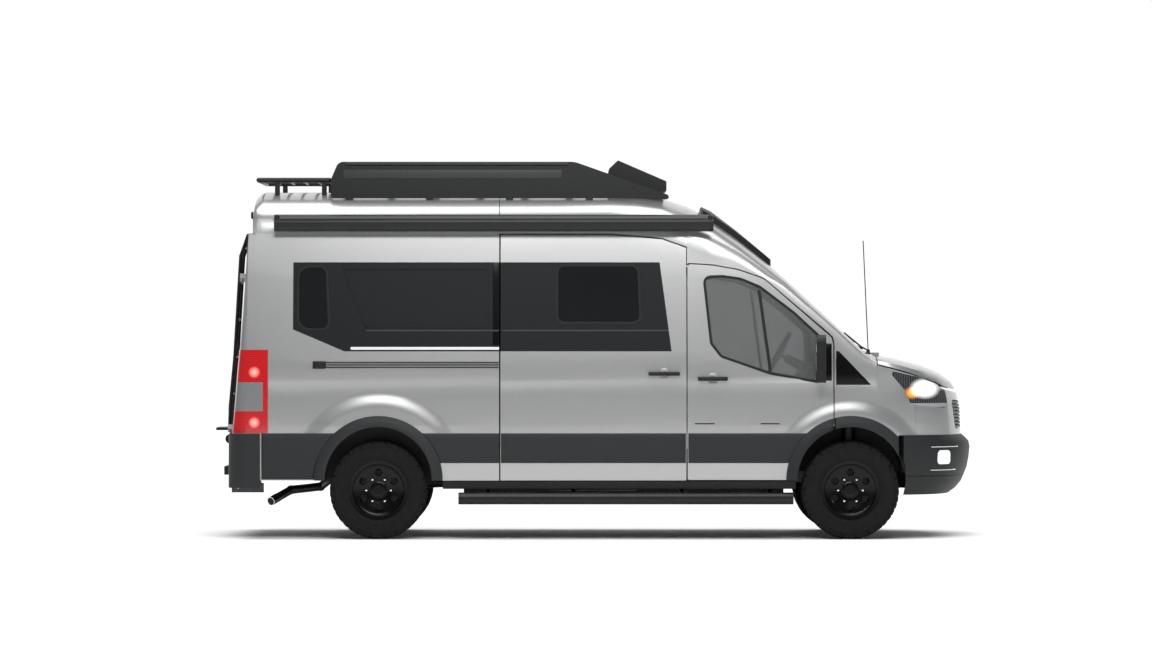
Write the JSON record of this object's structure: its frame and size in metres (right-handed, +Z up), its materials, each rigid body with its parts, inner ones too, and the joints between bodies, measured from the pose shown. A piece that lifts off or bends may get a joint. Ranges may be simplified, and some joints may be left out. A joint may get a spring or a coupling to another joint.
{
  "type": "camper van",
  "caption": "High-roof camper van with roof rack, side awning, running boards, rear ladder, opening doors and hood, steered front wheels and all-terrain tyres.",
  "frame": {"origin": "on the ground, below the middle of the overall length and width", "axes": "+X forward, +Y to the van's left, +Z up"},
  "size_m": [6.094, 2.4674, 3.0288],
  "materials": {
    "body_paint": "silver metallic paint",
    "cladding": "grained",
    "black_metal": "black powder coat",
    "trim": "satin",
    "glass": "tinted",
    "lamp_clear": "clear",
    "lamp_red": "clear red",
    "seat_cloth": "woven",
    "chassis_steel": "satin",
    "engine_alloy": "cast",
    "exhaust_steel": "satin",
    "rim_paint": "gloss black",
    "tyre": "matte"
  },
  "bodies": {
    "van": {"floor": "cladding", "side_left": "body_paint", "quarter_right": "body_paint", "sliding_door": "body_paint", "roof": "body_paint", "cab_shell": "body_paint", "fenders": "body_paint", "fascia": "body_paint", "grille": "cladding", "bumper_front": "cladding", "front_lamps": "lamp_clear", "windscreen": "glass", "living_windows": "glass", "tail_lamps": "lamp_red", "bumper_rear": "cladding", "sills": "trim", "arch_flares": "cladding", "wheel_liners": "trim", "running_boards": "black_metal", "awning": "black_metal", "roof_rack": "black_metal", "rear_rack": "black_metal", "roof_deflector": "trim", "cab_fairing": "trim", "antenna": "trim", "seats": "seat_cloth", "dashboard": "trim", "engine": "engine_alloy", "chassis": "chassis_steel", "front_suspension": "black_metal", "rear_axle": "black_metal", "fuel_tank": "trim", "exhaust": "exhaust_steel"},
    "cab_door_right": {"door_right": "body_paint", "glass_right": "glass", "mirror_right": "trim"},
    "cab_door_left": {"door_left": "body_paint", "glass_left": "glass", "mirror_left": "trim"},
    "back_door_right": {"rear_door_right": "body_paint", "rear_glass_right": "glass", "ladder": "black_metal"},
    "back_door_left": {"rear_door_left": "body_paint", "rear_glass_left": "glass"},
    "bonnet": {"hood": "body_paint"},
    "hand_wheel": {"steering_wheel": "trim"},
    "steer_right": {"knuckle_right": "chassis_steel"},
    "steer_left": {"knuckle_left": "chassis_steel"},
    "wheel_front_right": {"rim_front_right": "rim_paint", "tyre_front_right": "tyre"},
    "wheel_front_left": {"rim_front_left": "rim_paint", "tyre_front_left": "tyre"},
    "wheel_rear_right": {"rim_rear_right": "rim_paint", "tyre_rear_right": "tyre"},
    "wheel_rear_left": {"rim_rear_left": "rim_paint", "tyre_rear_left": "tyre"}
  },
  "joints": [
    {"name": "cab_door_right_hinge", "type": "hinge", "parent": "van", "child": "cab_door_right", "pos_m": [1.834, -1.006, 1.17], "axis": [0, 0, 1], "range_deg": [0, 70]},
    {"name": "cab_door_left_hinge", "type": "hinge", "parent": "van", "child": "cab_door_left", "pos_m": [1.834, 1.006, 1.17], "axis": [0, 0, -1], "range_deg": [0, 70]},
    {"name": "back_door_right_hinge", "type": "hinge", "parent": "van", "child": "back_door_right", "pos_m": [-2.926, -0.805, 0.828], "axis": [0.0804, 0, 0.9968], "range_deg": [0, 180]},
    {"name": "back_door_left_hinge", "type": "hinge", "parent": "van", "child": "back_door_left", "pos_m": [-2.926, 0.805, 0.828], "axis": [-0.0804, 0, -0.9968], "range_deg": [0, 180]},
    {"name": "bonnet_hinge", "type": "hinge", "parent": "van", "child": "bonnet", "pos_m": [2.244, 0, 1.478], "axis": [0, -1, 0], "range_deg": [0, 55]},
    {"name": "steer_left_pivot", "type": "hinge", "parent": "van", "child": "steer_left", "pos_m": [2.033, 0.8375, 0.39], "axis": [0, 0, 1], "range_deg": [-34, 34]},
    {"name": "steer_right_pivot", "type": "hinge", "parent": "van", "child": "steer_right", "pos_m": [2.033, -0.8375, 0.39], "axis": [0, 0, 1], "range_deg": [-34, 34]},
    {"name": "hand_wheel_turn", "type": "hinge", "parent": "van", "child": "hand_wheel", "pos_m": [1.513, 0.4, 1.47], "axis": [-0.8829, 0, 0.4695], "range_deg": [-512, 512]},
    {"name": "wheel_front_right_spin", "type": "hinge", "parent": "steer_right", "child": "wheel_front_right", "pos_m": [2.033, -0.8675, 0.39], "axis": [0, 1, 0], "continuous": true},
    {"name": "wheel_front_left_spin", "type": "hinge", "parent": "steer_left", "child": "wheel_front_left", "pos_m": [2.033, 0.8675, 0.39], "axis": [0, 1, 0], "continuous": true},
    {"name": "wheel_rear_right_spin", "type": "hinge", "parent": "van", "child": "wheel_rear_right", "pos_m": [-1.726, -0.8675, 0.39], "axis": [0, 1, 0], "continuous": true},
    {"name": "wheel_rear_left_spin", "type": "hinge", "parent": "van", "child": "wheel_rear_left", "pos_m": [-1.726, 0.8675, 0.39], "axis": [0, 1, 0], "continuous": true}
  ],
  "couplings": [
    {"joint": "steer_right_pivot", "follows": "steer_left_pivot", "ratio": 1},
    {"joint": "hand_wheel_turn", "follows": "steer_left_pivot", "ratio": 15}
  ]
}
